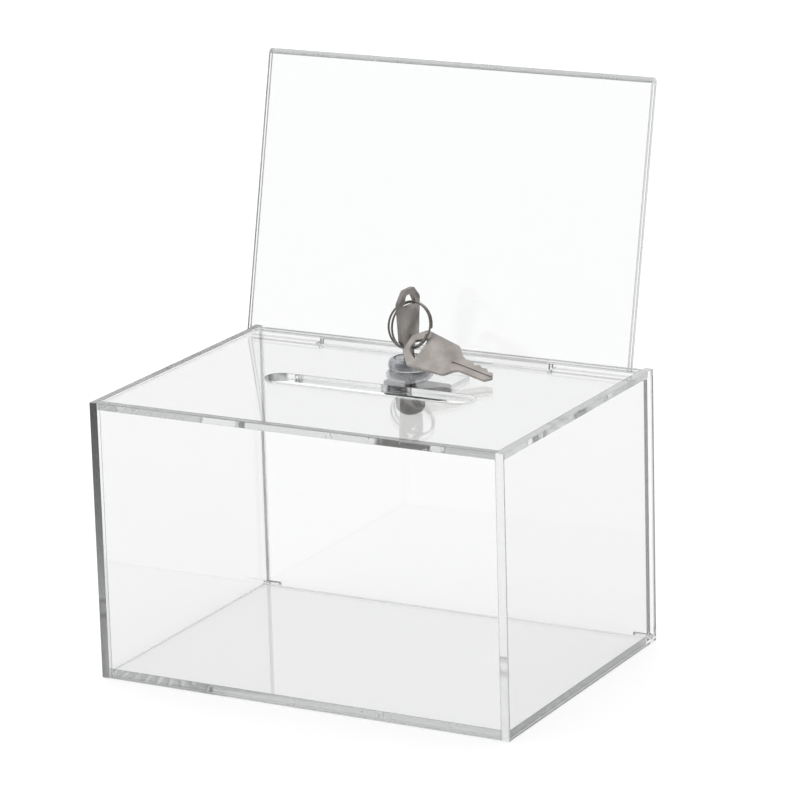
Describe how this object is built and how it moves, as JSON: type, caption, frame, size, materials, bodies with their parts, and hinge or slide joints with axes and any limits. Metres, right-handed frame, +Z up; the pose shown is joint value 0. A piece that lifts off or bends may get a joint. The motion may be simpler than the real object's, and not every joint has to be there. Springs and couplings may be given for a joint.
{
  "type": "donation box",
  "caption": "Clear acrylic collection box with a coin slot, a leaning sign holder, a hinged rear door, a cam lock on top and keys on a split ring.",
  "frame": {"origin": "centre of the box's rectangular footprint, on the underside of the bottom panel", "axes": "+Z up, +X to the right seen from the front, +Y to the rear, where the sign holder and the door are"},
  "size_m": [0.16, 0.1282, 0.2011],
  "materials": {
    "clear_acrylic": "clear cast acrylic sheet with polished edges",
    "lock_nickel": "nickel-plated die-cast zinc, satin",
    "cam_steel": "zinc-plated steel, slightly dull",
    "key_metal": "stamped nickel-plated brass, fine brushed",
    "ring_wire": "bright steel wire",
    "wafer_brass": "stamped brass"
  },
  "bodies": {
    "case": {"front_panel": "clear_acrylic", "left_panel": "clear_acrylic", "right_panel": "clear_acrylic", "bottom_panel": "clear_acrylic", "top_panel": "clear_acrylic", "left_hinge_pin": "clear_acrylic", "right_hinge_pin": "clear_acrylic", "lock_body": "lock_nickel", "lock_nut": "lock_nickel"},
    "door": {"rear_door": "clear_acrylic", "door_tab": "clear_acrylic"},
    "plug": {"lock_plug": "lock_nickel", "wafer_1": "wafer_brass", "wafer_2": "wafer_brass", "wafer_3": "wafer_brass", "wafer_4": "wafer_brass", "cam": "cam_steel", "cam_washer": "cam_steel", "cam_nut": "cam_steel"},
    "key": {"key_in_lock": "key_metal"},
    "ring": {"key_ring": "ring_wire"},
    "spare": {"spare_key": "key_metal"},
    "sign": {"sign_holder": "clear_acrylic"}
  },
  "joints": [
    {"name": "door_hinge", "type": "hinge", "parent": "case", "child": "door", "pos_m": [0, 0.0542, 0.0024], "axis": [-1, 0, 0], "range_deg": [0, 90]},
    {"name": "lock_turn", "type": "hinge", "parent": "case", "child": "plug", "pos_m": [0, 0.0265, 0.096], "axis": [0, 0, 1], "range_deg": [0, 90]},
    {"name": "key_withdraw", "type": "slide", "parent": "plug", "child": "key", "axis": [0, 0, 1], "range_m": [0, 0.032]},
    {"name": "ring_turn", "type": "hinge", "parent": "key", "child": "ring", "pos_m": [0, 0.0265, 0.1231], "axis": [0, 0, 1], "range_deg": [-54, 0]},
    {"name": "spare_key_swing", "type": "hinge", "parent": "ring", "child": "spare", "pos_m": [0.00907, 0.02055, 0.11132], "axis": [0.172, -0.6389, 0.7498], "range_deg": [0, 5]},
    {"name": "sign_lift", "type": "slide", "parent": "case", "child": "sign", "axis": [0, 0.225, 0.9744], "range_m": [0, 0.02]}
  ],
  "couplings": [
    {"joint": "ring_turn", "follows": "lock_turn", "ratio": -0.6}
  ]
}
